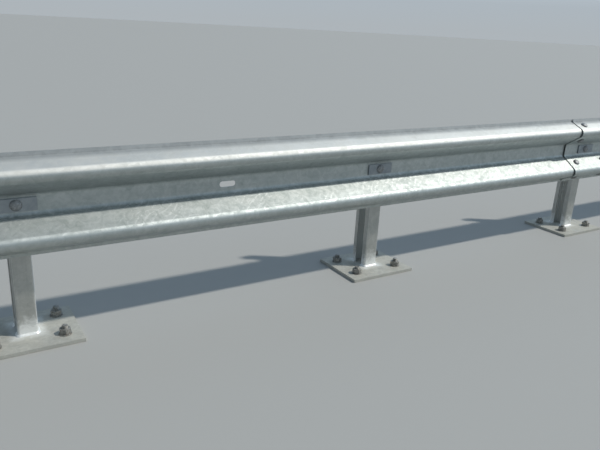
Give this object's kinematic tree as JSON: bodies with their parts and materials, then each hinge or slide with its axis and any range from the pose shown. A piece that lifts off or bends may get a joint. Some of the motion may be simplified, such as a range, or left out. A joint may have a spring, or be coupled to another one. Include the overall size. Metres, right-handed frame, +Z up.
{
  "type": "highway guardrail section",
  "caption": "Galvanised two-crest steel guardrail on channel posts with bolted base plates, its panels lapped at the middle post, for a road's edge.",
  "frame": {"origin": "underside of the middle base plate, at its centre, on top of the kerb", "axes": "+X along the rail to the right as seen from the road, +Y away from the road, +Z up"},
  "size_m": [8.318, 0.25, 0.588],
  "materials": {
    "rail_steel": "hot-dip galvanised, weathered, faint spangle",
    "post_steel": "hot-dip galvanised, dull grey",
    "plate_steel": "hot-dip galvanised, dusty",
    "washer_steel": "hot-dip galvanised, dull grey"
  },
  "bodies": {
    "root": {"rail_left": "rail_steel", "rail_right": "rail_steel", "post_1": "post_steel", "post_2": "post_steel", "post_3": "post_steel", "post_4": "post_steel", "post_5": "post_steel", "post_6": "post_steel", "post_7": "post_steel", "base_plate_1": "plate_steel", "base_plate_2": "plate_steel", "base_plate_3": "plate_steel", "base_plate_4": "plate_steel", "base_plate_5": "plate_steel", "base_plate_6": "plate_steel", "base_plate_7": "plate_steel", "washer_plate_1": "washer_steel", "washer_plate_2": "washer_steel", "washer_plate_3": "washer_steel", "washer_plate_4": "washer_steel", "washer_plate_5": "washer_steel", "washer_plate_6": "washer_steel", "washer_plate_7": "washer_steel"}
  },
  "joints": []
}
